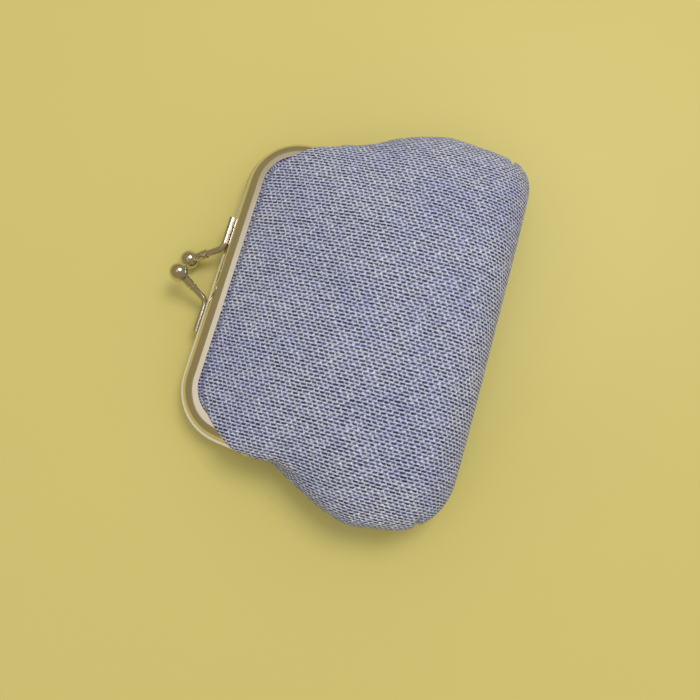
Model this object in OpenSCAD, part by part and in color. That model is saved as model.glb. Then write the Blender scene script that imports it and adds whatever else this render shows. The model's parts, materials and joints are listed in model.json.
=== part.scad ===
// Squeeze coin purse: a padded cloth bag in a two-part metal frame that snaps shut with two balls.
// It lies on its back: X runs along the mouth, +Y points out of the mouth, +Z is up.
// The origin is on the table, under the middle of the whole purse.

/* [Frame] */
// Width of the mouth between the points where its edge and the arms would cross
frame_w = 86; // [72:1:96]
// From the mouth's edge down to the rivets
frame_drop = 23; // [20:0.5:27]
// Outer radius of the frame's corners
corner_r = 15.5; // [12:0.5:18]
// How far the arms lean outward, in degrees
arm_flare = 6.5; // [4:0.5:11]
// Width of the metal channel, seen from the front
channel_w = 4.6; // [4.2:0.1:5.4]
// Thickness of one half of the closed frame
channel_t = 4; // [3.8:0.1:4.6]
// Radius of the channel's rounded shoulder
shoulder_r = 3.2; // [2.6:0.1:3.4]
// Thickness of the sheet metal
sheet = 0.5; // [0.4:0.05:0.6]
// How far the front half is set in from the back half on every side
nest = 0.7; // [0.65:0.05:0.9]
// Height of the plane between the two halves above the table
parting_z = 6; // [5.5:0.25:9]

/* [Rivets] */
// Diameter of a rivet's shank
rivet_d = 1.8; // [1.4:0.1:2]
// Diameter of its domed outer head
rivet_head_d = 3.8; // [3.2:0.1:4.2]
// Radius of the round ear at the end of each arm
ear_r = 2.4; // [2.2:0.1:2.6]

/* [Clasp] */
// Diameter of a ball
ball_d = 5.4; // [4.6:0.1:6.2]
// From the mouth's edge out to the middle of the balls
ball_reach = 9.4; // [8:0.2:12]
// Height of a ball's middle above or below the plane between the halves
ball_lift = 2.9; // [2.4:0.1:3.6]
// Diameter of the bent wire
wire_d = 1.9; // [1.6:0.1:2.2]
// Radius of the bend in the wire's middle line
wire_bend = 2.5; // [2:0.1:3.5]
// From the purse's middle to the outer end of a soldered foot
foot_end = 16.8; // [14:0.2:20]
// From the purse's middle to where a foot starts to bend
foot_bend = 9.2; // [8:0.2:11]
// Diameter of the sleeve that carries a ball
sleeve_d = 2.5; // [2.3:0.1:2.8]
// Length of the sleeve that shows below its ball
sleeve_l = 3.2; // [2:0.2:4]
// Depth of the groove where the sleeve is crimped to its wire
crimp_depth = 0.35; // [0.2:0.05:0.4]

/* [Bag] */
// From the mouth's edge down to the bottom of the bag
bag_h = 78.5; // [68:0.5:90]
// Widest width of the bag
bag_w = 112; // [104:1:124]
// Height of the bag's crown above the table
bag_t = 27; // [23:0.5:32]
// From the mouth's edge down to where the bag is widest
widest_at = 53; // [48:1:58]
// How much each side draws in from there to the bottom
draw_in = 3.8; // [0:0.2:6]
// Radius of the bag's lower corners
bag_corner_r = 10.5; // [8:0.5:18]
// Height of the side seam at the bottom of the bag
seam_z = 11.5; // [9:0.5:13]
// How far up the bag its rounded bottom begins
bottom_round = 15; // [12:1:18]

/* [Cloth] */
// Thickness of the outer cloth
cloth_t = 0.85; // [0.7:0.05:0.9]
// Thickness of the padding
padding_t = 1.45; // [1:0.05:2]
// Thickness of the lining
lining_t = 0.4; // [0.3:0.05:0.45]
// Diameter of the paper cord that wedges the cloth in the channel
cord_d = 1.3; // [1.1:0.05:1.4]

/* [Hidden] */
$fn = 96;

// Clearances
leg_gap = 0.1;      // from each half's inner leg to the plane between the halves
fit_gap = 0.04;     // around a rivet's shank
ear_gap = 0.1;      // between the two ears
solder_gap = 0.02;  // between a foot and its frame
pass_gap = 0.12;    // between the balls as they pass
layer_gap = 0.1;    // between neighbouring layers of cloth
seam_gap = 0.05;    // between the front's and the back's edges along the seam
ear_skin = 0.1;     // from an ear's outer face to the outside of its arm
cord_short = 0.5;   // from the end of a paper cord to the ear's neck

// Places along Y
clasp_reach = ball_reach + ball_d / 2;
mouth_y = (bag_h - clasp_reach) / 2;
hinge_y = mouth_y - frame_drop;
corner_y = mouth_y - corner_r;
ear_room = 0.8;
arm_end_y = hinge_y + ear_r + ear_room;

// Centre of each rounded corner, set so that mouth and arm cross at half of frame_w
corner_x = frame_w / 2 - corner_r * (cos(arm_flare) - (1 - sin(arm_flare)) * tan(arm_flare));

// Outer half-width of the frame at a height on the arms, inset all round by some distance
function arm_x(y, inset) =
    let (r = corner_r - inset)
    corner_x + r * cos(arm_flare) + (corner_y + r * sin(arm_flare) - y) * tan(arm_flare);

// The same, with the rounded corner
function frame_x(y, inset) =
    let (r = corner_r - inset, up = y - corner_y)
    up > r * sin(arm_flare) ? corner_x + sqrt(max(0, r * r - up * up)) : arm_x(y, inset);

// The ears: the back half's outside, the front half's inside. A neck joins each to its arm's wall:
// it spans these heights above the parting plane and reaches this far up inside the arm.
ear_t = 0.6;
ear_x = arm_x(arm_end_y, 0) - ear_t - ear_skin;
neck_low = 0.15;
neck_high = 1.9;
neck_root = 1.2;

// The channel's profile: u grows outward from the rim, v away from the parting plane.
// A corner is drawn a hair slimmer than the straight stretches, which lap over its ends.
inner_leg_from = 1.2;
hair = 0.02;
lap = 0.05;

module rounded_block(w, h, r) {
    square([w - r, h]);
    square([w, h - r]);
    intersection() {
        translate([w - r, h - r]) circle(r);
        translate([w - r - lap, h - r - lap]) square(r + 2 * lap);
    }
}

module channel_profile(slim) {
    h = channel_t - leg_gap;
    translate([0, leg_gap]) difference() {
        translate([slim, slim])
            rounded_block(channel_w - 2 * slim, h - 2 * slim, shoulder_r - slim);
        translate([-1, sheet - slim])
            rounded_block(channel_w + 1 - sheet + slim, h - 2 * sheet + 2 * slim, shoulder_r - sheet + slim);
        translate([-1, -1]) square([inner_leg_from + 1 + slim, sheet + 1.01]);
    }
}

// Sweeps two flat profiles round the mouth: the first along its straight stretches, the second round
// its corners. The profile's own x = 0 lies "inset" inside the frame's outer edge.
module sweep_mouth(inset, end_y) {
    r = corner_r - inset;
    arm_l = (corner_y + r * sin(arm_flare) - end_y) / cos(arm_flare);
    translate([corner_x + lap, corner_y + r, 0]) rotate([0, 0, 90]) rotate([90, 0, 0]) mirror([0, 0, 1])
        linear_extrude(2 * (corner_x + lap)) children(0);
    both_sides() {
        translate([corner_x, corner_y, 0])
            rotate_extrude(angle = 90 - arm_flare, start = arm_flare) translate([r, 0]) children(1);
        translate([corner_x + r * cos(arm_flare), corner_y + r * sin(arm_flare), 0])
            rotate([0, 0, arm_flare]) rotate([90, 0, 0]) translate([0, 0, -lap])
                linear_extrude(arm_l + lap) children(0);
    }
}

module both_sides() {
    children();
    mirror([1, 0, 0]) children();
}

// One ear, in the plane across X: x is where its inner face lies
module ear(x) {
    difference() {
        union() {
            translate([x, hinge_y, 0]) rotate([0, 90, 0]) cylinder(h = ear_t, r = ear_r);
            translate([x, hinge_y, neck_low])
                cube([ear_t, arm_end_y + neck_root - hinge_y, neck_high - neck_low]);
        }
        translate([x - 1, hinge_y, 0]) rotate([0, 90, 0])
            cylinder(h = ear_t + 2, d = rivet_d + 2 * fit_gap);
    }
}

// A half of the frame above the parting plane, at z = 0
module frame_half(inset, ear_at) {
    sweep_mouth(inset + channel_w, arm_end_y) {
        channel_profile(0);
        channel_profile(hair);
    }
    both_sides() ear(ear_at);
}

module back_frame() {
    color("silver")
        translate([0, 0, parting_z]) mirror([0, 0, 1]) frame_half(0, ear_x);
}

module front_frame() {
    color("silver")
        translate([0, 0, parting_z]) frame_half(nest, ear_x - ear_gap - ear_t);
}

// A rivet at the +X hinge: shank, domed outer head and small peened inner head
module rivet() {
    head_h = 0.8;
    head_root = 0.2;
    peen_h = 0.4;
    peen_d = rivet_d + 1.1;
    grip_from = ear_x - ear_gap - ear_t - fit_gap;
    grip_to = ear_x + ear_t + fit_gap;
    dome_r = (rivet_head_d * rivet_head_d / 4 + head_h * head_h) / (2 * head_h);
    translate([0, hinge_y, parting_z]) rotate([0, 90, 0]) {
        translate([0, 0, grip_from - peen_h]) cylinder(h = peen_h, d = peen_d);
        translate([0, 0, grip_from - peen_h])
            cylinder(h = grip_to - grip_from + peen_h + head_root, d = rivet_d);
        intersection() {
            translate([0, 0, grip_to]) cylinder(h = head_h, d = rivet_head_d);
            translate([0, 0, grip_to + head_h - dome_r]) sphere(dome_r);
        }
    }
}

module right_rivet() {
    color("silver") rivet();
}

module left_rivet() {
    color("silver") mirror([1, 0, 0]) rivet();
}

// The clasp. Each foot lies against its half's shoulder, and the wire bends up to a ball past the middle.
ball_x = ball_d / 2 + pass_gap / 2;
foot_v = 1.5;
foot_seat = sqrt(pow(shoulder_r + wire_d / 2 + solder_gap, 2) - pow(foot_v - (channel_t - shoulder_r), 2))
    - shoulder_r;
foot_y = mouth_y + foot_seat;

// From the start of the bend to the ball: along X, and across in the wire's own tilted plane.
// "back_by" is how far the half that carries this wire is set in.
run_x = foot_bend - ball_x;
function run_across(back_by) = norm([ball_reach - foot_seat + back_by, ball_lift + foot_v]);
function run_tilt(back_by) = atan2(ball_lift + foot_v, ball_reach - foot_seat + back_by);
function run_v(back_by) = [run_x, run_across(back_by) - wire_bend];
function run_l(back_by) = sqrt(pow(norm(run_v(back_by)), 2) - wire_bend * wire_bend);
function run_turn(back_by) =
    atan2(run_v(back_by)[1], run_v(back_by)[0]) + atan2(wire_bend, run_l(back_by));
ball_hold = ball_d / 2 + sleeve_l;

// Puts its children in the frame of the wire where the bend starts, on the back half's side
module at_foot(back_by) {
    translate([-foot_bend, foot_y - back_by, parting_z - foot_v])
        rotate([run_tilt(back_by), 0, 0]) children();
}

// Puts its children at the end of the bend, with +Z along the straight stretch
module at_run(back_by) {
    turn = run_turn(back_by);
    at_foot(back_by) translate([wire_bend * sin(turn), wire_bend * (1 - cos(turn)), 0])
        rotate([0, 0, turn]) rotate([0, 90, 0]) children();
}

module clasp_post(back_by) {
    turn = run_turn(back_by);
    at_foot(back_by) {
        translate([foot_bend - foot_end, 0, 0]) rotate([0, 90, 0])
            cylinder(h = foot_end - foot_bend + lap, d = wire_d);
        translate([0, wire_bend, 0]) rotate_extrude(angle = turn, start = -90)
            translate([wire_bend, 0]) circle(d = wire_d - 2 * hair);
    }
    at_run(back_by) translate([0, 0, -lap]) cylinder(h = run_l(back_by) - ball_hold + lap, d = wire_d);
}

// The sleeve is soldered into the ball and crimped to the end of the wire
module crimp_groove() {
    crimp_w = 0.5;
    crimp_from = 0.6;
    translate([0, 0, crimp_from]) difference() {
        cylinder(h = crimp_w, d = sleeve_d + 1);
        translate([0, 0, -1]) cylinder(h = crimp_w + 2, d = sleeve_d - 2 * crimp_depth);
    }
}

module clasp_ball(back_by) {
    at_run(back_by) {
        translate([0, 0, run_l(back_by) - ball_hold]) difference() {
            cylinder(h = ball_hold, d = sleeve_d);
            crimp_groove();
        }
        translate([0, 0, run_l(back_by)]) sphere(d = ball_d);
    }
}

// The front half's wire is the back half's, turned half round about the Y direction
module turned_over() {
    translate([0, 0, 2 * parting_z]) rotate([0, 180, 0]) children();
}

module back_clasp_post() {
    color("silver") clasp_post(0);
}

module back_clasp_ball() {
    color("silver") clasp_ball(0);
}

module front_clasp_post() {
    color("silver") turned_over() clasp_post(nest);
}

module front_clasp_ball() {
    color("silver") turned_over() clasp_ball(nest);
}

// Paper cords, deep in each channel against its inner leg
cord_u = 2.6;
cord_v = leg_gap + sheet + layer_gap + cord_d / 2;

module paper_cord(inset) {
    sweep_mouth(inset + channel_w - cord_u, arm_end_y + neck_root + cord_short) {
        translate([0, cord_v]) circle(d = cord_d);
        translate([0, cord_v]) circle(d = cord_d - 2 * hair);
    }
}

module back_paper_cord() {
    color("burlywood") translate([0, 0, parting_z]) mirror([0, 0, 1]) paper_cord(0);
}

module front_paper_cord() {
    color("burlywood") translate([0, 0, parting_z]) paper_cord(nest);
}

// The cloth. Its edge is tucked under the channel's outer leg, as far as the shoulder leaves room.
tuck = 1.9;
edge_inset = channel_w - tuck;
rim_v = channel_t - sheet - layer_gap;
hem_clear = 0.35;
hem = tuck + hem_clear;
hem_lead = 0.3;
hem_rise = 2;

// Depths of the layers' faces, below the bag's outer face: in the bag, and under the channel
cloth_in = cloth_t;
pad_out = cloth_in + layer_gap;
pad_in = pad_out + padding_t;
lining_out = pad_in + layer_gap;
lining_in = lining_out + lining_t;
rim_lining_out = cloth_in + layer_gap / 2;

function smooth(t) = let (c = min(1, max(0, t))) c * c * (3 - 2 * c);

// 0 between the frame's arms and 1 in the free bag below them
neck_blend = 8;
function below_frame(d) = smooth((d - frame_drop) / neck_blend);

// Half-width of the bag's outer face at a distance d below the mouth's edge
widens_above = 2;
draw_power = 1.2;
function bag_x(d, inset, depth) =
    let (
        in_frame = frame_x(mouth_y - d, inset + edge_inset),
        to_widest = smooth((d - frame_drop + widens_above) / (widest_at - frame_drop + widens_above)),
        past = max(0, d - widest_at) / (bag_h - widest_at),
        side = in_frame + (bag_w / 2 - in_frame) * to_widest - draw_in * pow(past, draw_power),
        r = bag_corner_r,
        low = max(0, min(1, (d + depth - (bag_h - r)) / r))
    )
    side - depth * below_frame(d) - r * (1 - sqrt(1 - low * low));

// Height of the seam, and of the crown of the front face, at a distance below the mouth's edge
function seam_at(d) = parting_z + (seam_z - parting_z) * smooth((d - frame_drop) / (bag_h - frame_drop));
crown_from = parting_z + rim_v;
crown_rise = 0.9;
function crown_at(d) =
    let (rise = sin(90 * min(1, max(0, d - edge_inset) / widest_at)))
    crown_from + (bag_t - crown_from) * pow(rise, crown_rise);

// How far a point lies inside the tucked edge, as for a box with rounded corners
function inside(x, d, inset) =
    let (
        r = corner_r - inset - edge_inset,
        from_side = arm_x(mouth_y - d, inset + edge_inset) - abs(x),
        from_top = d - inset - edge_inset,
        p = max(0, r - from_side),
        q = max(0, r - from_top)
    )
    p > 0 && q > 0 ? r - norm([p, q]) : min(from_side, from_top);

// 0 on the hem and 1 in the bag
function freed(x, d, inset) =
    max(below_frame(d), smooth((inside(x, d, inset) - hem - hem_lead) / hem_rise));

// How square the front's and the back's cross-sections are, and how far the back lies pressed flat
crown_power = 2.6;
crown_shape = 0.42;
floor_power = 5;
floor_shape = 0.5;
flat_cut = 0.5;

// Height of the rounded section: 1 along the middle, 0 at the sides and at the bottom
function swell(x, d, half_x, depth, power, shape) =
    let (
        across = min(1, abs(x) / half_x),
        low = max(0, min(1, (d + depth - (bag_h - bottom_round)) / bottom_round))
    )
    pow(max(0, 1 - pow(across, power)), shape) * sqrt(max(0, 1 - low * low));

// A face of the front or back: the depth is in the bag, and the rim depth under the channel
function front_z(x, d, half_x, depth, rim_depth) =
    let (
        rim = parting_z + rim_v - rim_depth,
        start = parting_z + rim_v - depth,
        base = start + (seam_at(d) - start) * below_frame(d),
        top = crown_at(d) - depth,
        full = base + (top - base) * swell(x, d, half_x, depth, crown_power, crown_shape)
    )
    rim + (full - rim) * freed(x, d, nest);

function back_z(x, d, half_x, depth, rim_depth) =
    let (
        rim = parting_z - rim_v + rim_depth,
        start = parting_z - rim_v + depth,
        base = start + (seam_at(d) - seam_gap - start) * below_frame(d),
        low = depth - flat_cut,
        sunk = swell(x, d, half_x, depth, floor_power, floor_shape) * smooth(d / frame_drop),
        sink = base + (low - base) * sunk
    )
    max(depth, rim + (sink - rim) * freed(x, d, 0));

// Rows from the mouth to the bottom, closer together at the rim and round the bottom
rim_rows = [0, 0.6, hem, hem + hem_rise, 6, 8, 10.5, 13];
bag_rows = 12;
even_share = 0.35;
function row_d(j, inset, depth) =
    let (
        n = len(rim_rows),
        last = inset + edge_inset + rim_rows[n - 1],
        k = (j - n + 1) / bag_rows,
        reach = even_share * k + (1 - even_share) * sin(90 * k)
    )
    j < n ? inset + edge_inset + rim_rows[j]
          : last + (bag_h - depth - last) * reach;
rows = len(rim_rows) + bag_rows;

// Places across a row: one column each side lies on the hem's edge, the others close up outward
half_cols = 9;
function col_x(i, half_x) =
    let (
        k = i - half_cols,
        side = k < 0 ? -1 : 1,
        m = abs(k),
        last = half_x - hem - hem_rise
    )
    side * (m == half_cols ? half_x
          : m == half_cols - 1 ? half_x - hem
          : last * sin(90 * m / (half_cols - 2)));
cols = 2 * half_cols + 1;

// Points of one face, row after row
function face_points(front, inset, depth, rim_depth, r0, c0) = [
    for (j = [r0 : rows - 1])
    for (i = [c0 : cols - 1 - c0])
    let (
        d = row_d(j, inset, depth),
        half_x = bag_x(d, inset, depth),
        x = col_x(i, half_x)
    )
    [x, mouth_y - d, front ? front_z(x, d, half_x, depth, rim_depth)
                           : back_z(x, d, half_x, depth, rim_depth)]
];

// A closed shell between two faces that share a grid of m rows and n columns
module shell(upper, lower, m, n) {
    count = m * n;
    quads = [for (j = [0 : m - 2]) for (i = [0 : n - 2]) [j * n + i, j * n + i + 1]];
    rim = concat(
        [for (i = [0 : n - 2]) i],
        [for (j = [0 : m - 2]) j * n + n - 1],
        [for (i = [n - 1 : -1 : 1]) (m - 1) * n + i],
        [for (j = [m - 1 : -1 : 1]) j * n]
    );
    faces = concat(
        [for (q = quads) [q[0], q[1], q[1] + n]],
        [for (q = quads) [q[0], q[1] + n, q[0] + n]],
        [for (q = quads) [count + q[0], count + q[1] + n, count + q[1]]],
        [for (q = quads) [count + q[0], count + q[0] + n, count + q[1] + n]],
        [for (k = [0 : len(rim) - 1])
            let (a = rim[k], b = rim[(k + 1) % len(rim)]) [b, a, count + a]],
        [for (k = [0 : len(rim) - 1])
            let (a = rim[k], b = rim[(k + 1) % len(rim)]) [b, count + a, count + b]]
    );
    polyhedron(concat(upper, lower), faces, convexity = 6);
}

// A layer of the front or back between two depths. It leaves out r0 rows at the mouth and c0 columns a side.
module layer(front, outer, inner, rim_outer, rim_inner, r0, c0) {
    inset = front ? nest : 0;
    a = face_points(front, inset, outer, rim_outer, r0, c0);
    b = face_points(front, inset, inner, rim_inner, r0, c0);
    shell(front ? a : b, front ? b : a, rows - r0, cols - 2 * c0);
}

module outer_panel(front) {
    layer(front, 0, cloth_in, 0, cloth_in, 0, 0);
}

// The padding stays clear of the channel, so it leaves out the rows and columns of the hem
padding_rows = 3;
padding_cols = 2;
module padding(front) {
    layer(front, pad_out, pad_in, rim_lining_out, rim_lining_out, padding_rows, padding_cols);
}

module lining(front) {
    layer(front, lining_out, lining_in, rim_lining_out, rim_lining_out + lining_t, 0, 0);
}

module back_outer_panel() {
    color("lightsteelblue") outer_panel(false);
}

module front_outer_panel() {
    color("lightsteelblue") outer_panel(true);
}

module back_padding() {
    color("whitesmoke") padding(false);
}

module front_padding() {
    color("whitesmoke") padding(true);
}

module back_lining() {
    color("slategray") lining(false);
}

module front_lining() {
    color("slategray") lining(true);
}

back_frame();
front_frame();
left_rivet();
right_rivet();
back_clasp_post();
back_clasp_ball();
front_clasp_post();
front_clasp_ball();
back_paper_cord();
front_paper_cord();
back_outer_panel();
front_outer_panel();
back_padding();
front_padding();
back_lining();
front_lining();
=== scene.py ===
"""Dresses a clasp-frame coin purse: padded woven cloth, plated metal and the table that it lies on."""
import json
import math

import bmesh
import bpy
from bpy.props import FloatProperty, FloatVectorProperty, IntProperty, PointerProperty
from mathutils import Matrix, Vector, noise


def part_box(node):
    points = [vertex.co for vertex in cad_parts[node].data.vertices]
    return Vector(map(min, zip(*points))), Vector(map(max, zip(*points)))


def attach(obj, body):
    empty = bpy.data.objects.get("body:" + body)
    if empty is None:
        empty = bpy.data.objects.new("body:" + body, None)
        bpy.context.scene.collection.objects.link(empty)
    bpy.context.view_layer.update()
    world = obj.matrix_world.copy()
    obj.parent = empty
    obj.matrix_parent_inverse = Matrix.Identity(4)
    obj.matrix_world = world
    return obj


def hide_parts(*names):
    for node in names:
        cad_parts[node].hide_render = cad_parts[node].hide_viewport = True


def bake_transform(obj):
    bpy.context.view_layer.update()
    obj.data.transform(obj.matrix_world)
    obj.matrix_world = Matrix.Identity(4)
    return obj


bl_info = {
    "name": "Clasp-Frame Coin Purse",
    "version": (1, 0, 0),
    "blender": (4, 5, 0),
    "location": "3D View > Sidebar > Purse",
    "description": "Padded cloth, lining, metal finishes and a studio for a clasp-frame coin purse",
    "category": "Add Mesh",
}

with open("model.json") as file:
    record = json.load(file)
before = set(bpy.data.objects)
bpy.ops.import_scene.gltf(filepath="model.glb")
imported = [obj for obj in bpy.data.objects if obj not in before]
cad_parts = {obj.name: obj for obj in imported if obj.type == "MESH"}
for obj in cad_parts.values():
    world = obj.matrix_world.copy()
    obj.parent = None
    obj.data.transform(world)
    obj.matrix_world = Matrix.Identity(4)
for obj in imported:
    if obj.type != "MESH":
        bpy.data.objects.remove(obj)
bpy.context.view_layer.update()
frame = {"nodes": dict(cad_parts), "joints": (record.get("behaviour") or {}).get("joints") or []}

BACK = "back"
MM = 0.001


# Places read from the frame

def joint_place():
    """The point on the hinge line, in metres."""
    for joint in frame["joints"]:
        if joint["name"] == "frame_hinge":
            return Vector(joint["pos_m"])
    raise RuntimeError("the frame has no hinge")


HINGE = joint_place()
MOUTH_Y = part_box("back_frame")[1][1]
PARTING_Z = HINGE.z
FRAME_DROP = MOUTH_Y - HINGE.y
FRONT_NEST = MOUTH_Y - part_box("front_frame")[1][1]


# Sizes and colours that a user would change

class PurseBag(bpy.types.PropertyGroup):
    """Sizes of the padded cloth bag."""

    height: FloatProperty(name="Height", description="From the mouth's edge to the bottom of the bag",
                          default=0.0785, unit="LENGTH")
    crown: FloatProperty(name="Crown", description="Height of the front's crown above the table",
                         default=0.027, unit="LENGTH")
    seam_height: FloatProperty(name="Seam height", description="Height of the side seam at the bottom",
                               default=0.0115, unit="LENGTH")
    bottom_round: FloatProperty(name="Bottom rounding", description="How far up the rounding begins",
                                default=0.015, unit="LENGTH")
    near_width: FloatProperty(name="Near half-width", description="Widest reach of the bag's -X side",
                              default=0.0557, unit="LENGTH")
    far_width: FloatProperty(name="Far half-width", description="Widest reach of the bag's +X side",
                             default=0.0556, unit="LENGTH")
    near_corner: FloatProperty(name="Near corner", description="Radius of the lower corner on -X",
                               default=0.0135, unit="LENGTH")
    far_corner: FloatProperty(name="Far corner", description="Radius of the lower corner on +X",
                              default=0.0075, unit="LENGTH")
    groove: FloatProperty(name="Seam groove", description="How deep the side seams draw the cloth in",
                          default=0.0018, unit="LENGTH")
    crease_at: FloatProperty(name="Corner crease", description="How far down the corners' creases lie",
                             default=0.0712, unit="LENGTH")
    crease: FloatProperty(name="Crease depth", description="How deep the corners' creases are",
                          default=0.0015, unit="LENGTH")
    unevenness: FloatProperty(name="Unevenness", description="Depth of the soft dents in the padding",
                              default=0.0005, unit="LENGTH")
    columns: IntProperty(name="Columns", description="Faces across a panel", default=168, min=24)
    rows: IntProperty(name="Rows", description="Faces down a panel", default=140, min=24)


class PurseCloth(bpy.types.PropertyGroup):
    """Thicknesses and weave of the cloth."""

    outer: FloatProperty(name="Outer cloth", description="Thickness of the outer cloth",
                         default=0.00085, unit="LENGTH")
    padding: FloatProperty(name="Padding", description="Thickness of the padding",
                           default=0.00145, unit="LENGTH")
    lining: FloatProperty(name="Lining", description="Thickness of the lining",
                          default=0.0004, unit="LENGTH")
    gap: FloatProperty(name="Layer gap", description="Room between layers",
                       default=0.0001, unit="LENGTH")
    row_pitch: FloatProperty(name="Row pitch", description="From one row of the weave to the next",
                             default=0.00092, unit="LENGTH")
    float_pitch: FloatProperty(name="Float pitch", description="From one float to the next in a row",
                               default=0.00158, unit="LENGTH")
    # The floats show this colour in full only where the twill's painted shine is strongest.
    silver: FloatVectorProperty(name="Silver", description="Metallic floats in full light",
                                default=(0.83, 0.86, 1.0), subtype="COLOR")
    blue: FloatVectorProperty(name="Blue", description="Blue floats",
                              default=(0.38, 0.43, 0.95), subtype="COLOR")
    ground: FloatVectorProperty(name="Ground", description="Dark yarn between the floats",
                                default=(0.008, 0.010, 0.045), subtype="COLOR")


class PurseMetal(bpy.types.PropertyGroup):
    """Colours of the plated metal."""

    frame_colour: FloatVectorProperty(name="Frame plating", description="Colour of the frame's plating",
                                      default=(0.82, 0.765, 0.71), subtype="COLOR")
    clasp_colour: FloatVectorProperty(name="Clasp plating", description="Colour of the balls and wires",
                                      default=(0.72, 0.68, 0.63), subtype="COLOR")


class PurseStudio(bpy.types.PropertyGroup):
    """Table, light and camera."""

    table: FloatVectorProperty(name="Table", description="Colour of the table",
                               default=(0.57, 0.49, 0.152), subtype="COLOR")
    daylight: FloatProperty(name="Daylight", description="Strength of the even light from all around",
                            default=0.78)
    key_power: FloatProperty(name="Key power", description="Power of the soft key lamp",
                             default=4.1, unit="POWER")
    window_power: FloatProperty(name="Window power", description="Power of the lamp that the lip mirrors",
                                default=0.20, unit="POWER")
    surroundings: FloatVectorProperty(name="Surroundings", description="What the metal mirrors",
                                      default=(0.30, 0.25, 0.115), subtype="COLOR")
    camera_from: FloatVectorProperty(name="Camera place", description="From the mouth's middle",
                                     default=(-0.0412, -0.0465, 0.1979), unit="LENGTH")
    look_azimuth: FloatProperty(name="Look azimuth", description="Where it looks, from +X toward +Y",
                                default=math.radians(8.14), subtype="ANGLE")
    look_down: FloatProperty(name="Look down", description="How far below level the camera looks",
                             default=math.radians(80.7), subtype="ANGLE")
    roll: FloatProperty(name="Roll", description="Turn of the camera about its own line of sight",
                        default=math.radians(7.93), subtype="ANGLE")
    lens: FloatProperty(name="Lens", description="Focal length in millimetres",
                        default=36.0, unit="CAMERA")


# Form of the bag

# The frame as the cloth meets it: width of its channel, how deep the cloth is tucked in, height of the
# channel's mouth above the parting, width of the frame, radius of its corners and flare of its arms.
CHANNEL_W = 4.6 * MM
TUCK = 1.9 * MM
EDGE_INSET = CHANNEL_W - TUCK
RIM_RISE = 3.4 * MM
FRAME_W = 86 * MM
CORNER_R = 15.5 * MM
ARM_FLARE = math.radians(6.5)
CORNER_REACH = math.cos(ARM_FLARE) - (1 - math.sin(ARM_FLARE)) * math.tan(ARM_FLARE)
CORNER_X = FRAME_W / 2 - CORNER_R * CORNER_REACH

# The cloth leaves the channel as a flat hem, then rises. Below the arms it closes to a side seam.
HEM = 2.25 * MM
HEM_LEAD = 0.1 * MM
HEM_RISE = 1.4 * MM
NECK_BLEND = 8 * MM


def clamp(t):
    """0 below 0, 1 above 1, and t between."""
    return min(max(t, 0.0), 1.0)


def smooth(t):
    """0 below 0, 1 above 1, and an even S between."""
    t = clamp(t)
    return t * t * (3 - 2 * t)


def quarter_round(share):
    """Height of a quarter circle of radius 1, at a share of its width."""
    return math.sqrt(max(0.0, 1 - share * share))


def arm_half_width(down, inset):
    """Half-width of the frame's straight arms, at a distance below the mouth's edge."""
    r = CORNER_R - inset
    above = down - CORNER_R + r * math.sin(ARM_FLARE)
    return CORNER_X + r * math.cos(ARM_FLARE) + above * math.tan(ARM_FLARE)


def frame_half_width(down, inset):
    """The same, with the rounded corner."""
    r = CORNER_R - inset
    up = CORNER_R - down
    if up > r * math.sin(ARM_FLARE):
        return CORNER_X + math.sqrt(max(0.0, r * r - up * up))
    return arm_half_width(down, inset)


def inside_edge(x, down, inset):
    """How far a point lies inside the cloth's tucked edge, round the frame's corners."""
    r = CORNER_R - inset - EDGE_INSET
    from_side = arm_half_width(down, inset + EDGE_INSET) - abs(x)
    from_top = down - inset - EDGE_INSET
    p, q = max(0.0, r - from_side), max(0.0, r - from_top)
    if p > 0 and q > 0:
        return r - math.hypot(p, q)
    return min(from_side, from_top)


class NearSide:
    """The bag's -X side. The purse leans that way, so the cloth is drawn out far below the frame."""

    # Below the mouth's edge: where the side is widest and where it begins to open
    WIDEST_AT = 54 * MM
    NECK_FROM = 22 * MM

    # How far the side draws in at the bottom, and how far the back's flank stands out past the seam
    DRAW_IN = 4.6 * MM
    FLANK = 2.0 * MM

    # The front's roll over the arm: where it begins, where it is full and how far inside the edge it stays
    ROLL_FROM = 6 * MM
    ROLL_FULL = 22 * MM
    LEAN = 0.0

    def __init__(self, bag):
        self.widest = bag.near_width
        self.corner = bag.near_corner

    def held_in(self, down):
        """How far the roll over the arm stays inside the arm's outer edge."""
        return 0.4 * MM * smooth((down - 19 * MM) / (4 * MM))


class FarSide:
    """The bag's +X side, which opens out soon below the frame."""

    # Below the mouth's edge: where the side is widest and where it begins to open
    WIDEST_AT = 53 * MM
    NECK_FROM = 11 * MM

    # How far the side draws in at the bottom, and how far the back's flank stands out past the seam
    DRAW_IN = 3.2 * MM
    FLANK = 0.4 * MM

    # The front's roll over the arm: where it begins, where it is full and how far inside the edge it stays
    ROLL_FROM = 9 * MM
    ROLL_FULL = 19 * MM
    LEAN = 2.6 * MM

    def __init__(self, bag):
        self.widest = bag.far_width
        self.corner = bag.far_corner

    def held_in(self, down):
        """How far the roll over the arm stays inside the arm's outer edge."""
        return 3.2 * MM * (1 - smooth((down - 16 * MM) / (20 * MM)))


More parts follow.
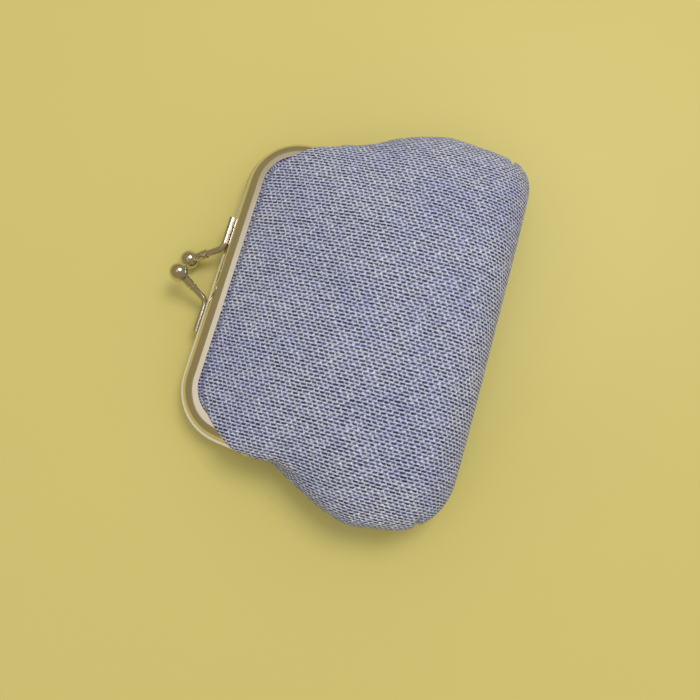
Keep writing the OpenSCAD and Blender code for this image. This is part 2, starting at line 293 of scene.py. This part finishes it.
class BagForm:
    """The bag's front and back as surfaces over (across, down), at any depth below the outer face.
    s goes across from -1 to 1, t goes down from 0 at the mouth to 1 at the bottom."""

    # How the rows and columns are spread
    RIM_SHARE = 0.26
    RIM_REACH = 13 * MM
    ROW_CROWDING = 0.65
    HEM_SHARE = 0.86

    # The padded swell of the front and the flatter back
    CROWN_AT = 53 * MM
    CROWN_RISE = 0.9
    CROWN_POWER = 2.6
    CROWN_SHAPE = 0.42
    FLOOR_POWER = 5
    BACK_LIFT = 0.15 * MM

    # Where the sides leave the frame, and where they draw in again
    OPENS_FROM = 17 * MM
    OPENS_WITHIN = 6 * MM
    DRAW_IN_POWER = 1.15

    # The front's roll over the frame's arms
    ROLL_HEIGHT = 12.4 * MM
    ROLL_FADES_FROM = 26 * MM
    ROLL_FADES_WITHIN = 14 * MM
    PAST_ARM = -0.1 * MM

    # Seams, creases and dents
    SEAM_REACH = 2.2 * MM
    CREASE_REACH = 1.3 * MM
    CREASE_TOP = 14 * MM
    CREASE_FADE = 8 * MM
    FLANK_FROM = 28 * MM
    FLANK_WITHIN = 16 * MM
    DENT_ACROSS = 17 * MM
    DENT_DOWN = 13 * MM
    BACK_DENTS = 0.6
    DENT_RISE = 6 * MM

    def __init__(self, bag, is_front):
        self.bag = bag
        self.is_front = is_front
        self.sign = 1 if is_front else -1
        self.inset = FRONT_NEST if is_front else 0.0
        self.near = NearSide(bag)
        self.far = FarSide(bag)

    def half_width(self, side, down, depth):
        """Half-width of one side at a depth below the outer face."""
        height = self.bag.height
        in_frame = frame_half_width(down, self.inset + EDGE_INSET)
        opening = clamp((down - side.NECK_FROM) / (side.WIDEST_AT - side.NECK_FROM))
        opened = (opening + smooth(opening)) / 2 * smooth((down - self.OPENS_FROM) / self.OPENS_WITHIN)
        past = max(0.0, down - side.WIDEST_AT) / (height - side.WIDEST_AT)
        reach = in_frame + (side.widest - in_frame) * opened - side.DRAW_IN * past ** self.DRAW_IN_POWER
        low = clamp((down + depth - height + side.corner) / side.corner)
        freed = smooth((down - FRAME_DROP) / NECK_BLEND)
        return reach - depth * freed - side.corner * (1 - quarter_round(low))

    def seam(self, down):
        """Height of the side seam."""
        rise = self.bag.seam_height - PARTING_Z
        return PARTING_Z + rise * smooth((down - FRAME_DROP) / (self.bag.height - FRAME_DROP))

    def crown(self, down):
        """Height of the front along the middle."""
        start = PARTING_Z + RIM_RISE
        turn = math.sin(math.pi / 2 * min(1.0, max(0.0, down - EDGE_INSET) / self.CROWN_AT))
        return start + (self.bag.crown - start) * turn ** self.CROWN_RISE

    def down_at(self, t, depth):
        """Distance below the mouth's edge at a share t of the panel's rows."""
        first = self.inset + EDGE_INSET
        if t < self.RIM_SHARE:
            return first + self.RIM_REACH * t / self.RIM_SHARE
        k = (t - self.RIM_SHARE) / (1 - self.RIM_SHARE)
        start = first + self.RIM_REACH
        spread = (1 - self.ROW_CROWDING) * k + self.ROW_CROWDING * math.sin(math.pi / 2 * k)
        return start + (self.bag.height - depth - start) * spread

    def across_at(self, s, half):
        """Place across a row at a share s of its columns, -1 to 1."""
        m = abs(s)
        rim = HEM + HEM_RISE
        if m > self.HEM_SHARE:
            x = half - rim * (1 - m) / (1 - self.HEM_SHARE)
        else:
            x = (half - rim) * math.sin(math.pi / 2 * m / self.HEM_SHARE)
        return math.copysign(x, s)

    def point(self, s, t, depth, rim_depth):
        """A point of the face that lies at a depth in the bag, and at a rim depth under the channel."""
        side = self.near if s < 0 else self.far
        down = self.down_at(t, depth)
        half = self.half_width(side, down, depth)
        neck = smooth((down - FRAME_DROP) / NECK_BLEND)
        rim, base, top = self.heights(down, depth, rim_depth, neck)
        bottom = self.bag.bottom_round
        rounded = quarter_round(clamp((down + depth - self.bag.height + bottom) / bottom))
        x = self.across_at(s, half)
        across = min(1.0, abs(x) / half)
        swell = self.swell(across, down, rounded)
        full = base + (top - base) * swell
        freed = smooth((inside_edge(x, down, self.inset) - HEM - HEM_LEAD) / HEM_RISE)
        z = rim + (full - rim) * max(neck, freed)
        drawn_in = self.pinch(z - self.seam(down), neck) + self.crease(down, z, across)
        x -= math.copysign(drawn_in - self.flank(side, down, z, across), x)
        share = self.roll_share(side, down)
        if share > 0:
            lip_z = rim + (base - rim) * neck
            rolled_x, rolled_z = self.rolled(side, abs(s), down, half, depth, neck, (lip_z, top, rounded))
            x += (math.copysign(rolled_x, s) - x) * share
            z += (rolled_z - z) * share
        return Vector((x, MOUTH_Y - down, z)) + self.dent(x, down, z, max(neck, freed) * swell)

    def heights(self, down, depth, rim_depth, neck):
        """Heights of the rim under the channel, of the swell's foot and of its top."""
        rim = PARTING_Z + self.sign * (RIM_RISE - rim_depth)
        start = PARTING_Z + self.sign * (RIM_RISE - depth)
        base = start + (self.seam(down) - start) * neck
        top = self.crown(down) - depth if self.is_front else depth + self.BACK_LIFT
        return rim, base, top

    def swell(self, across, down, rounded):
        """Share of the full height, from 1 in the middle to 0 at the sides and the bottom."""
        if self.is_front:
            return (1 - across ** self.CROWN_POWER) ** self.CROWN_SHAPE * rounded
        flat = math.sqrt(max(0.0, 1 - across ** self.FLOOR_POWER))
        return flat * rounded * smooth(down / FRAME_DROP)

    def roll_share(self, side, down):
        """Near the hinges the front rolls out over the frame's arms. 1 where it does so in full."""
        if not self.is_front:
            return 0.0
        begun = smooth((down - side.ROLL_FROM) / (side.ROLL_FULL - side.ROLL_FROM))
        return begun * (1 - smooth((down - self.ROLL_FADES_FROM) / self.ROLL_FADES_WITHIN))

    def rolled(self, side, m, down, half, depth, neck, heights):
        """Distance from the middle and height, where the front rolls over an arm and dives to the lip."""
        lip_z, top, rounded = heights
        over_arm = arm_half_width(down, self.PAST_ARM) - side.held_in(down) - depth
        widest = max(half - side.LEAN, over_arm)
        lip = half - TUCK * (1 - neck)
        lip_share = self.HEM_SHARE + (1 - self.HEM_SHARE) * (1 - TUCK / (HEM + HEM_RISE))
        roll = self.ROLL_HEIGHT - depth
        if m < self.HEM_SHARE:
            x = widest * math.sin(math.pi / 2 * m / self.HEM_SHARE)
            z = roll + (top - roll) * (1 - (x / widest) ** self.CROWN_POWER) ** self.CROWN_SHAPE * rounded
        elif m < lip_share:
            turn = math.pi / 2 * (m - self.HEM_SHARE) / (lip_share - self.HEM_SHARE)
            x = lip + (widest - lip) * math.cos(turn)
            z = roll + (lip_z - roll) * math.sin(turn)
        else:
            x = lip + (half - lip) * (m - lip_share) / (1 - lip_share)
            z = lip_z
        return x, z

    def pinch(self, above, neck):
        """How far the side seam draws the cloth in, close to the seam."""
        near = max(0.0, 1 - abs(above) / self.SEAM_REACH)
        return self.bag.groove * neck * near * near

    def crease(self, down, z, across):
        """The lower corners are sewn across, which leaves a crease up the flank."""
        near = max(0.0, 1 - abs(down - self.bag.crease_at) / self.CREASE_REACH)
        low = 1 - smooth((z - self.CREASE_TOP) / self.CREASE_FADE)
        return self.bag.crease * near * near * low * across ** 3

    def flank(self, side, down, z, across):
        """How far the back's side stands out past the seam, most on the side that the purse leans to."""
        if self.is_front:
            return 0.0
        height = clamp(z / self.seam(down))
        most = side.FLANK * smooth((down - self.FLANK_FROM) / self.FLANK_WITHIN)
        return most * 4 * height * (1 - height) * across ** 8

    def dent(self, x, down, z, share):
        """Soft dents in the padding. They fade out at the rim, at the seams and on the table."""
        if not self.is_front:
            share *= min(1.0, z / self.DENT_RISE) * self.BACK_DENTS
        place = Vector((x / self.DENT_ACROSS, down / self.DENT_DOWN, 0.3 if self.is_front else 4.1))
        lift = noise.noise(place) + 0.45 * noise.noise(place * 2.3)
        return Vector((0, 0, self.sign * lift * self.bag.unevenness * share))


def panel(name, form, depths, rim_depths, columns, rows, trim=(0.0, 0.0)):
    """A panel of one layer: a grid laid on the bag's form, with a second face deeper in the bag.
    depths and rim_depths are those of the two faces, in the bag and at the rim.
    trim leaves out a share of the rows at the mouth and of the columns at each side."""
    mesh = bpy.data.meshes.new(name)
    piece = bpy.data.objects.new(name, mesh)
    bpy.context.collection.objects.link(piece)
    cloth = bmesh.new()
    bmesh.ops.create_grid(cloth, x_segments=columns, y_segments=rows, size=1.0)
    weave = cloth.loops.layers.uv.new("weave")
    ordered = {}
    for vert in cloth.verts:
        i = round((vert.co.x + 1) / 2 * columns)
        j = round((1 - vert.co.y) / 2 * rows)
        ordered[vert] = (i, j)
    outer_faces = cloth.faces[:]
    copied = bmesh.ops.duplicate(cloth, geom=outer_faces)
    inner_of = copied["vert_map"]
    for vert, (i, j) in ordered.items():
        s = (2 * i / columns - 1) * (1 - trim[1])
        t = trim[0] + (1 - trim[0]) * j / rows
        vert.co = form.point(s, t, depths[0], rim_depths[0])
        inner_of[vert].co = form.point(s, t, depths[1], rim_depths[1])
    edges = [edge for edge in cloth.edges if edge.is_boundary]
    bmesh.ops.bridge_loops(cloth, edges=edges)
    lay_weave(cloth, ordered, inner_of, columns, rows, weave)
    bmesh.ops.recalc_face_normals(cloth, faces=cloth.faces[:])
    for face in cloth.faces:
        face.smooth = True
    cloth.to_mesh(mesh)
    cloth.free()
    return piece


def lay_weave(cloth, ordered, inner_of, columns, rows, weave):
    """Gives the cloth its flat measure: the distance along the threads from the panel's middle line."""
    at = {spot: vert for vert, spot in ordered.items()}
    middle = columns // 2
    place = {}
    down = 0.0
    for j in range(rows + 1):
        if j:
            down += (at[(middle, j)].co - at[(middle, j - 1)].co).length
        place[at[(middle, j)]] = (0.0, down)
        for step, stop in ((1, columns + 1), (-1, -1)):
            across = 0.0
            for i in range(middle + step, stop, step):
                across += (at[(i, j)].co - at[(i - step, j)].co).length
                place[at[(i, j)]] = (step * across, down)
    for outer, inner in inner_of.items():
        if outer in place:
            place[inner] = place[outer]
    for face in cloth.faces:
        for loop in face.loops:
            loop[weave].uv = place[loop.vert]


# Shader sheets: values that read like numbers

class Value:
    """A shader socket. Sums and products of values add their own Math nodes."""

    def __init__(self, sheet, socket):
        self.sheet = sheet
        self.socket = socket

    def maths(self, operation, *others):
        """Adds one Math node that starts with this value."""
        return self.sheet.node("ShaderNodeMath", {"operation": operation}, [self, *others])

    def __add__(self, other):
        return self.maths("ADD", other)

    __radd__ = __add__

    def __mul__(self, other):
        return self.maths("MULTIPLY", other)

    def __sub__(self, other):
        return self.maths("SUBTRACT", other)

    def __rsub__(self, other):
        return self.sheet.node("ShaderNodeMath", {"operation": "SUBTRACT"}, [other, self])

    def __truediv__(self, other):
        return self.maths("DIVIDE", other)

    def __abs__(self):
        return self.maths("ABSOLUTE")

    def fraction(self):
        return self.maths("FRACT")

    def floor(self):
        return self.maths("FLOOR")

    def between(self, low, high):
        """0 at low and 1 at high, with a smooth step."""
        settings = {"interpolation_type": "SMOOTHSTEP"}
        return self.sheet.node("ShaderNodeMapRange", settings, [self, low, high, 0.0, 1.0])


class Sheet:
    """One material and its nodes."""

    # Sockets of a colour mix: its share, its two colours and its result
    MIX_SHARE = 0
    MIX_LOW = 6
    MIX_HIGH = 7
    MIXED = 2

    def __init__(self, name, roughness=0.5, metallic=0.0, **constants):
        self.material = bpy.data.materials.new(name)
        self.material.use_nodes = True
        self.nodes = self.material.node_tree.nodes
        self.links = self.material.node_tree.links
        self.shader = self.nodes["Principled BSDF"]
        self.shader.inputs["Roughness"].default_value = roughness
        self.shader.inputs["Metallic"].default_value = metallic
        for socket, value in constants.items():
            self.shader.inputs[socket.replace("_", " ")].default_value = value

    def node(self, kind, settings=None, values=(), output=0):
        """Adds a node: its settings first, then its sockets by order or by name."""
        node = self.nodes.new(kind)
        for key, value in (settings or {}).items():
            setattr(node, key, value)
        pairs = values.items() if isinstance(values, dict) else enumerate(values)
        for key, value in pairs:
            self.feed(node.inputs[key], value)
        return Value(self, node.outputs[output])

    def feed(self, socket, value):
        """Links a value to a socket, or sets a constant on it."""
        if isinstance(value, Value):
            self.links.new(value.socket, socket)
        elif value is not None:
            is_colour = socket.type == "RGBA" and len(value) == 3
            socket.default_value = (*value, 1.0) if is_colour else value

    def place(self):
        """Object coordinates, in metres."""
        return self.node("ShaderNodeTexCoord", output="Object")

    def thread_place(self):
        """The weave's own flat coordinates, in metres."""
        return self.node("ShaderNodeUVMap", {"uv_map": "weave"})

    def parts(self, vector):
        """The x, y and z of a vector."""
        split = self.node("ShaderNodeSeparateXYZ", values=[vector]).socket.node
        return [Value(self, split.outputs[k]) for k in range(3)]

    def noise(self, vector, scale, detail=2.0, roughness=0.5):
        """A cloudy value about 0.5. scale is in clouds per metre."""
        values = {"Vector": vector, "Scale": scale, "Detail": detail, "Roughness": roughness}
        return self.node("ShaderNodeTexNoise", values=values)

    def chance(self, x, y):
        """An even random number for each whole x and y."""
        vector = self.node("ShaderNodeCombineXYZ", values=[x, y])
        return self.node("ShaderNodeTexWhiteNoise", {"noise_dimensions": "2D"}, {"Vector": vector})

    def mix(self, share, low, high):
        """A colour between two colours."""
        values = {self.MIX_SHARE: share, self.MIX_LOW: low, self.MIX_HIGH: high}
        return self.node("ShaderNodeMix", {"data_type": "RGBA"}, values, output=self.MIXED)

    def bump(self, height, distance, strength=1.0):
        """Lets a height between 0 and 1 tilt the light by a relief of that distance in metres."""
        values = {"Strength": strength, "Distance": distance, "Height": height}
        normal = self.node("ShaderNodeBump", values=values)
        self.feed(self.shader.inputs["Normal"], normal)

    def paint(self, socket, value):
        """Feeds one of the shader's own sockets."""
        self.feed(self.shader.inputs[socket], value)


def lurex_twill(cloth):
    """Short silvery floats in staggered rows over a dark ground, going blue in patches. The floats'
    glints, sparkle and lit crests are painted highlight in the colour.
    """
    sheet = Sheet("lurex_twill", roughness=0.42, Specular_IOR_Level=0.35)
    threads = sheet.thread_place()
    u, v, _ = sheet.parts(threads)
    slow = sheet.noise(threads, 150.0, 2.0) - 0.5
    quick = sheet.noise(threads, 1100.0, 1.0) - 0.5

    # Dark dashes lie along the middle of each row and are bridged at their ends.
    across = u / cloth.row_pitch + slow * 0.5 + quick * 0.3
    row = across.floor()
    along = v / cloth.float_pitch + row * 0.38 + slow * 0.9 + quick * 0.5
    from_row = abs(across.fraction() - 0.5)
    from_float = abs(along.fraction() - 0.5)
    fate = sheet.chance(row, along.floor())
    valley = 1 - from_row.between(0.12, 0.44)
    bridge = (from_float + fate * 0.10).between(0.29, 0.48)
    shade = 1 - valley * (1 - bridge * 0.6) * (1 - fate * 0.15)

    # Bright strokes lie on the ridges between the rows, each with a painted glint of its own: painted
    # highlight, with fine painted sparkle and a painted lighter crest along each ridge, dimmed at the
    # strokes' ends.
    ridge = (across + 0.5).floor()
    stroke_at = v / cloth.float_pitch * 0.85 + ridge * 0.62 + slow * 0.8 + quick * 0.4
    stroke_end = abs(stroke_at.fraction() - 0.5).between(0.28, 0.5)
    painted_glint = sheet.chance(ridge, stroke_at.floor() + 40)
    painted_sparkle = sheet.noise(threads, 2600.0, 1.0)
    painted_crest = from_row.between(0.25, 0.50)
    painted_shine = (0.55 + painted_glint * 0.75 + painted_sparkle * 0.75) * (0.78 + painted_crest * 0.45) * (1 - stroke_end * 0.6)
    # light is the weave's own pattern of dark dashes times the painted shine of the strokes.
    light = shade * painted_shine

    # The yarn goes from silver to blue in soft patches, and strokes with a weaker painted glint lean to
    # blue.
    patches = sheet.noise(threads, 42.0, 3.0, 0.6).between(0.35, 0.75)
    blueness = (1 - painted_glint) * 0.24 + fate * 0.12 + patches * 0.26
    float_colour = sheet.mix(blueness, cloth.silver, cloth.blue)
    sheet.paint("Base Color", sheet.mix(light, cloth.ground, float_colour))
    sheet.paint("Metallic", light * 0.1)
    sheet.paint("Roughness", 0.62 - light * 0.22)
    sheet.bump(light, 0.4 * MM, 0.9)
    return sheet.material


def lining_cloth():
    """Plain dark lining, thinly woven."""
    sheet = Sheet("lining_cloth", roughness=0.7)
    threads = sheet.thread_place()
    u, v, _ = sheet.parts(threads)
    pitch = 0.4 * MM
    warp = abs((u / pitch).fraction() - 0.5)
    weft = abs((v / pitch).fraction() - 0.5)
    raised = (1 - warp * 2) * (1 - weft * 2)
    cloudy = sheet.noise(threads, 60.0, 3.0)
    # The raised middles of the threads are painted lighter and the gaps between threads darker: painted
    # shade, mixed with the yarn's cloudy tone.
    colour = sheet.mix(raised * 0.6 + cloudy * 0.4, (0.035, 0.04, 0.075), (0.13, 0.15, 0.24))
    sheet.paint("Base Color", colour)
    sheet.bump(raised, 0.1 * MM, 0.6)
    return sheet.material


def wadding():
    """White fleece padding."""
    sheet = Sheet("wadding", roughness=0.95)
    place = sheet.place()
    fibres = sheet.noise(place, 1500.0, 4.0, 0.7)
    clumps = sheet.noise(place, 240.0, 2.0)
    fluff = fibres * 0.6 + clumps * 0.4
    sheet.paint("Base Color", sheet.mix(fluff, (0.72, 0.72, 0.70), (0.93, 0.93, 0.91)))
    sheet.bump(fibres, 0.3 * MM, 0.7)
    return sheet.material


def plated_metal(name, colour, roughness):
    """Bright plating with faint drawing lines, smears and a few specks of wear."""
    sheet = Sheet(name, roughness=roughness, metallic=1.0)
    place = sheet.place()
    smear = sheet.noise(place, 90.0, 3.0, 0.6)
    fine = sheet.noise(place, 1400.0, 2.0, 0.6)
    worn = sheet.noise(place, 420.0, 4.0, 0.7).between(0.66, 0.78)
    dull = [channel * 0.82 for channel in colour]
    sheet.paint("Base Color", sheet.mix(smear * 0.35 + worn * 0.4, colour, dull))
    sheet.paint("Roughness", smear * 0.08 + worn * 0.12 + (roughness - 0.03))
    sheet.bump(fine, 0.01 * MM, 0.25)
    return sheet.material


def kraft_cord():
    """Twisted brown paper."""
    sheet = Sheet("kraft_cord", roughness=0.85)
    place = sheet.place()
    x, y, z = sheet.parts(place)
    twist = ((x + y + z * 2) / (0.7 * MM)).fraction()
    strand = abs(twist - 0.5) * 2
    fibre = sheet.noise(place, 2200.0, 3.0)
    # The strands are painted paler on their ridges and darker in the grooves between them: painted shade,
    # mixed with the paper's own fibre tone.
    paleness = strand * 0.6 + fibre * 0.4
    sheet.paint("Base Color", sheet.mix(paleness, (0.32, 0.22, 0.13), (0.62, 0.48, 0.33)))
    sheet.bump(strand, 0.1 * MM, 0.7)
    return sheet.material


def table_top(colour):
    """A plain pale table with the faintest unevenness."""
    sheet = Sheet("table_top", roughness=0.40, Specular_IOR_Level=0.16)
    soft = sheet.noise(sheet.place(), 14.0, 2.0)
    darker = [channel * 0.965 for channel in colour]
    sheet.paint("Base Color", sheet.mix(soft, darker, colour))
    return sheet.material


def put_on(piece, material):
    """Gives a piece or a CAD node one material."""
    piece.data.materials.clear()
    piece.data.materials.append(material)
    for face in piece.data.polygons:
        face.material_index = 0


# Where each half's cloth is kept


def follow(piece, is_front):
    """The back lies still on the table, under the back's body.
    The front keeps its place, with its placing baked into its mesh."""
    if is_front:
        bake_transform(piece)
    else:
        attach(piece, BACK)


def halves(bag):
    """The back and then the front: whether it is the front, its name and its form."""
    for is_front in (False, True):
        yield is_front, "front" if is_front else "back", BagForm(bag, is_front)


class PURSE_OT_outer_cloth(bpy.types.Operator):
    """Make the outer cloth of the front and the back"""

    bl_idname = "purse.outer_cloth"
    bl_label = "Outer Cloth"

    def execute(self, context):
        bag, cloth = context.scene.purse_bag, context.scene.purse_cloth
        twill = lurex_twill(cloth)
        faces = (0.0, cloth.outer)
        for is_front, side, form in halves(bag):
            piece = panel(f"{side}_outer_cloth", form, faces, faces, bag.columns, bag.rows)
            put_on(piece, twill)
            follow(piece, is_front)
            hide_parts(f"{side}_outer_panel")
        return {"FINISHED"}


class PURSE_OT_padding(bpy.types.Operator):
    """Make the padding between the outer cloth and the lining"""

    bl_idname = "purse.padding"
    bl_label = "Padding"

    def execute(self, context):
        bag, cloth = context.scene.purse_bag, context.scene.purse_cloth
        fleece = wadding()
        faces = (cloth.outer + cloth.gap, cloth.outer + cloth.padding)
        flattened = (cloth.outer + 0.02 * MM, cloth.outer + 0.06 * MM)
        columns, rows = bag.columns // 3, bag.rows // 3
        short_of_rim = (0.09, 0.16)
        for is_front, side, form in halves(bag):
            piece = panel(f"{side}_wadding", form, faces, flattened, columns, rows, short_of_rim)
            put_on(piece, fleece)
            follow(piece, is_front)
            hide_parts(f"{side}_padding")
        return {"FINISHED"}


class PURSE_OT_lining(bpy.types.Operator):
    """Make the lining of the front and the back"""

    bl_idname = "purse.lining"
    bl_label = "Lining"

    def execute(self, context):
        bag, cloth = context.scene.purse_bag, context.scene.purse_cloth
        dark = lining_cloth()
        depth = cloth.outer + cloth.padding + 2 * cloth.gap
        rim_depth = cloth.outer + 4 * cloth.gap
        faces = (depth, depth + cloth.lining)
        rim_faces = (rim_depth, rim_depth + cloth.lining)
        for is_front, side, form in halves(bag):
            piece = panel(f"{side}_lining_cloth", form, faces, rim_faces, bag.columns, bag.rows)
            put_on(piece, dark)
            follow(piece, is_front)
            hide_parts(f"{side}_lining")
        return {"FINISHED"}


class PURSE_OT_metal(bpy.types.Operator):
    """Give the frame, rivets and clasp their plating"""

    bl_idname = "purse.metal"
    bl_label = "Plated Metal"

    def execute(self, context):
        metal = context.scene.purse_metal
        plating = plated_metal("frame_plating", list(metal.frame_colour), 0.14)
        clasp = plated_metal("clasp_plating", list(metal.clasp_colour), 0.16)
        for node in ("back_frame", "front_frame", "left_rivet", "right_rivet"):
            put_on(frame["nodes"][node], plating)
        for node in ("back_clasp_post", "back_clasp_ball", "front_clasp_post", "front_clasp_ball"):
            put_on(frame["nodes"][node], clasp)
        return {"FINISHED"}


class PURSE_OT_paper_cords(bpy.types.Operator):
    """Give the paper cords in the channels their finish"""

    bl_idname = "purse.paper_cords"
    bl_label = "Paper Cords"

    def execute(self, context):
        kraft = kraft_cord()
        for node in ("back_paper_cord", "front_paper_cord"):
            put_on(frame["nodes"][node], kraft)
        return {"FINISHED"}


class PURSE_OT_studio(bpy.types.Operator):
    """Set the table, the soft lights and the camera"""

    bl_idname = "purse.studio"
    bl_label = "Studio"

    TABLE_HALF = 1.5
    DAYLIGHT_COLOUR = (1.0, 0.985, 0.96, 1.0)
    KEY_PLACE = (0.40, -0.20, 0.90)
    KEY_SIZE = (0.40, 0.40)
    WINDOW_PLACE = (0.05, 0.17, 0.80)
    WINDOW_SIZE = (0.60, 0.20)
    LAMPS_LOOK_AT = Vector((0, 0, 10 * MM))

    def execute(self, context):
        studio = context.scene.purse_studio
        self.table(studio)
        self.lights(context, studio)
        self.camera(context, studio)
        context.scene.view_settings.view_transform = "Standard"
        return {"FINISHED"}

    def table(self, studio):
        """A plain table, far wider than the picture."""
        mesh = bpy.data.meshes.new("table")
        table = bpy.data.objects.new("table", mesh)
        bpy.context.collection.objects.link(table)
        top = bmesh.new()
        bmesh.ops.create_grid(top, x_segments=4, y_segments=4, size=self.TABLE_HALF)
        top.to_mesh(mesh)
        top.free()
        put_on(table, table_top(list(studio.table)))

    def lights(self, context, studio):
        """Even daylight, a soft key, a window that the lip mirrors, and surroundings for the metal."""
        world = bpy.data.worlds.new("studio")
        world.use_nodes = True
        context.scene.world = world
        nodes, links = world.node_tree.nodes, world.node_tree.links
        daylight = nodes["Background"]
        daylight.inputs["Color"].default_value = self.DAYLIGHT_COLOUR
        daylight.inputs["Strength"].default_value = studio.daylight
        walls = nodes.new("ShaderNodeBackground")
        walls.inputs["Color"].default_value = (*studio.surroundings, 1.0)
        mirrored = nodes.new("ShaderNodeLightPath")
        choice = nodes.new("ShaderNodeMixShader")
        links.new(mirrored.outputs["Is Glossy Ray"], choice.inputs[0])
        links.new(daylight.outputs[0], choice.inputs[1])
        links.new(walls.outputs[0], choice.inputs[2])
        links.new(choice.outputs[0], nodes["World Output"].inputs["Surface"])
        self.soft_box("key", self.KEY_PLACE, self.KEY_SIZE, studio.key_power)
        self.soft_box("window", self.WINDOW_PLACE, self.WINDOW_SIZE, studio.window_power)

    def soft_box(self, name, place, size, power):
        """A rectangular lamp that shines toward the purse."""
        light = bpy.data.lights.new(name, "AREA")
        light.shape = "RECTANGLE"
        light.size, light.size_y = size
        light.energy = power
        lamp = bpy.data.objects.new(name, light)
        bpy.context.collection.objects.link(lamp)
        turned = (self.LAMPS_LOOK_AT - Vector(place)).to_track_quat("-Z", "Y")
        lamp.matrix_world = Matrix.Translation(place) @ turned.to_matrix().to_4x4()

    def camera(self, context, studio):
        """Looks down at the purse, turned and rolled a little."""
        down, turn = studio.look_down, studio.look_azimuth
        level_reach = math.cos(down)
        ahead = Vector((level_reach * math.cos(turn), level_reach * math.sin(turn), -math.sin(down)))
        level = Vector((math.sin(turn), -math.cos(turn), 0.0))
        upright = level.cross(ahead)
        right = level * math.cos(studio.roll) + upright * math.sin(studio.roll)
        up = upright * math.cos(studio.roll) - level * math.sin(studio.roll)
        data = bpy.data.cameras.new("camera")
        data.lens = studio.lens
        data.clip_start = 10 * MM
        camera = bpy.data.objects.new("camera", data)
        bpy.context.collection.objects.link(camera)
        axes = Matrix((right, up, -ahead)).transposed().to_4x4()
        mouth = Vector((0, MOUTH_Y, 0))
        camera.matrix_world = Matrix.Translation(mouth + Vector(studio.camera_from)) @ axes
        context.scene.camera = camera


class PURSE_PT_panel(bpy.types.Panel):
    """Lists the steps that dress the purse"""

    bl_label = "Coin Purse"
    bl_idname = "PURSE_PT_panel"
    bl_space_type = "VIEW_3D"
    bl_region_type = "UI"
    bl_category = "Purse"

    def draw(self, context):
        for group in ("purse_bag", "purse_cloth", "purse_metal", "purse_studio"):
            box = self.layout.box()
            settings = getattr(context.scene, group)
            for name in settings.__annotations__:
                box.prop(settings, name)
        for step in STEPS:
            self.layout.operator(step.bl_idname)


GROUPS = {
    "purse_bag": PurseBag,
    "purse_cloth": PurseCloth,
    "purse_metal": PurseMetal,
    "purse_studio": PurseStudio,
}
STEPS = (
    PURSE_OT_outer_cloth,
    PURSE_OT_padding,
    PURSE_OT_lining,
    PURSE_OT_metal,
    PURSE_OT_paper_cords,
    PURSE_OT_studio,
)


def register():
    for group in GROUPS.values():
        bpy.utils.register_class(group)
    for name, group in GROUPS.items():
        setattr(bpy.types.Scene, name, PointerProperty(type=group))
    for step in STEPS:
        bpy.utils.register_class(step)
    bpy.utils.register_class(PURSE_PT_panel)


def unregister():
    bpy.utils.unregister_class(PURSE_PT_panel)
    for step in reversed(STEPS):
        bpy.utils.unregister_class(step)
    for name in GROUPS:
        delattr(bpy.types.Scene, name)
    for group in reversed(GROUPS.values()):
        bpy.utils.unregister_class(group)


def main():
    """Dresses the purse step by step."""
    register()
    for step in STEPS:
        group, name = step.bl_idname.split(".")
        getattr(getattr(bpy.ops, group), name)()


if __name__ == "__main__":
    main()
